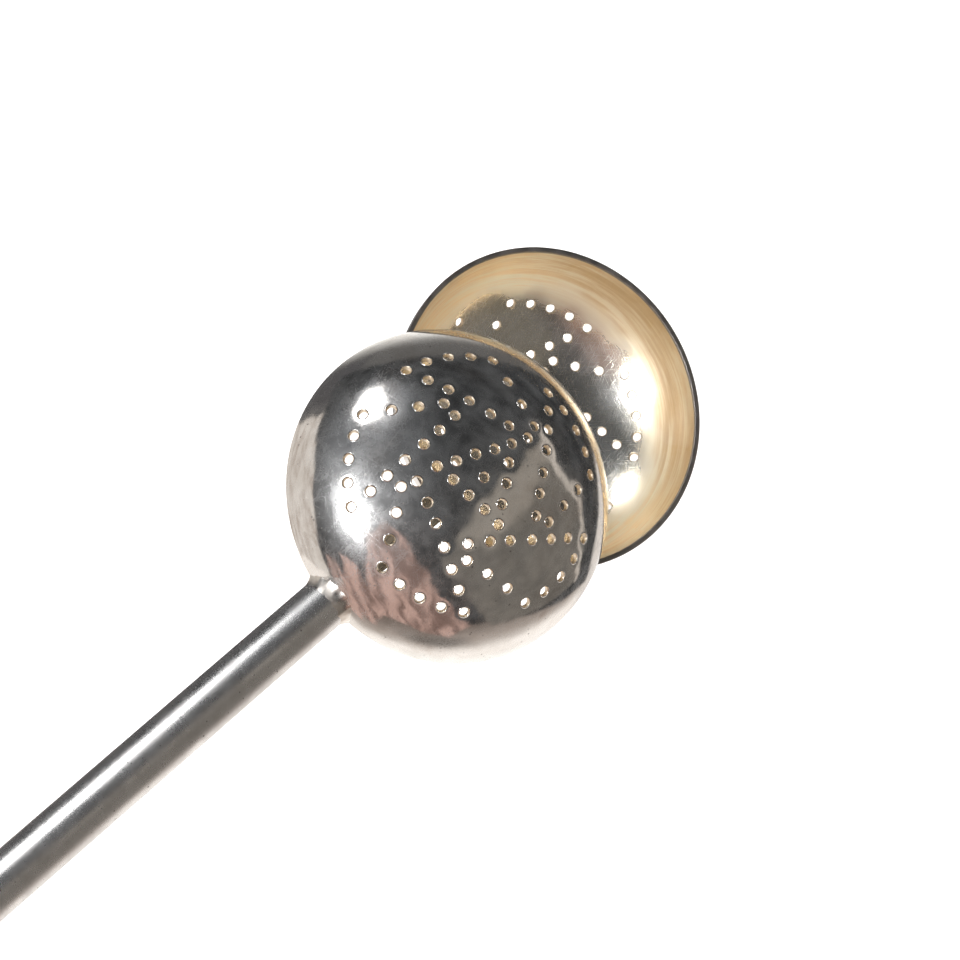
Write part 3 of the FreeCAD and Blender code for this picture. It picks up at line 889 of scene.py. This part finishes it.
def add_windows(g, x, y, colour):
    """Two soft windows, a high one and a low one, with a halo round each."""
    high_halo = soft_disc(g, x, y, (-13.0, 58.0), (28.0, 22.0), 0.0, 1.0)
    low_halo = soft_disc(g, x, y, (-25.0, 4.0), (24.0, 28.0), 0.0, 1.0)
    colour = g.mix(g.math("MAXIMUM", high_halo, low_halo), colour, (0.55, 0.57, 0.60), "ADD")
    high = g.times(soft_disc(g, x, y, (-17.0, 59.0), (12.0, 10.5), 0.0, 1.2), 0.45)
    low = soft_disc(g, x, y, (-26.5, 3.0), (9.0, 14.0), 0.25, 1.2)
    return g.mix(g.math("MAXIMUM", high, low), colour, (WINDOW_LIGHT, WINDOW_LIGHT, WINDOW_LIGHT))


def make_world():
    """A dim studio with pale walls, warm furnishings and two soft windows, behind a plain pale backdrop."""
    world = bpy.data.worlds.new("studio")
    bpy.context.scene.world = world
    world.use_nodes = True
    g = Graph(world.node_tree)
    x, y, way = world_directions(g)
    mottle = g.noise(way, 6.0, 5.0, 0.62)
    colour = walls(g, x, y)
    for add_part in (add_left_wall, add_dim_room, add_cloth):
        colour = add_part(g, x, y, mottle, colour)
    for add_part in (add_drapes, add_windows):
        colour = add_part(g, x, y, colour)
    lit = g.add("ShaderNodeBackground", {"Color": colour})
    plain = g.add("ShaderNodeBackground", {"Color": BACKDROP})
    seen = g.add("ShaderNodeLightPath", out="Is Camera Ray")
    shader = g.add("ShaderNodeMixShader", {0: seen, 1: lit, 2: plain})
    g.add("ShaderNodeOutputWorld", {"Surface": shader}, out=None)


def make_lamp():
    """An even light from overhead that keeps the floor white."""
    lamp = bpy.data.lights.new("overhead", "SUN")
    lamp.energy = LAMP_POWER
    lamp.angle = LAMP_SPREAD
    lamp.use_shadow = False
    show("overhead", lamp).visible_glossy = False


def make_camera():
    data = bpy.data.cameras.new("camera")
    data.lens = LENS
    data.sensor_width = SENSOR
    data.clip_start = NEAR
    data.clip_end = FAR
    camera = show("camera", data)
    axes = Matrix((CAMERA_RIGHT, CAMERA_UP, CAMERA_BACK)).transposed()
    camera.matrix_world = Matrix.Translation(CAMERA_AT) @ axes.to_4x4()
    bpy.context.scene.camera = camera


make_floor()
make_world()
make_lamp()
make_camera()
bpy.context.scene.view_settings.view_transform = "Standard"
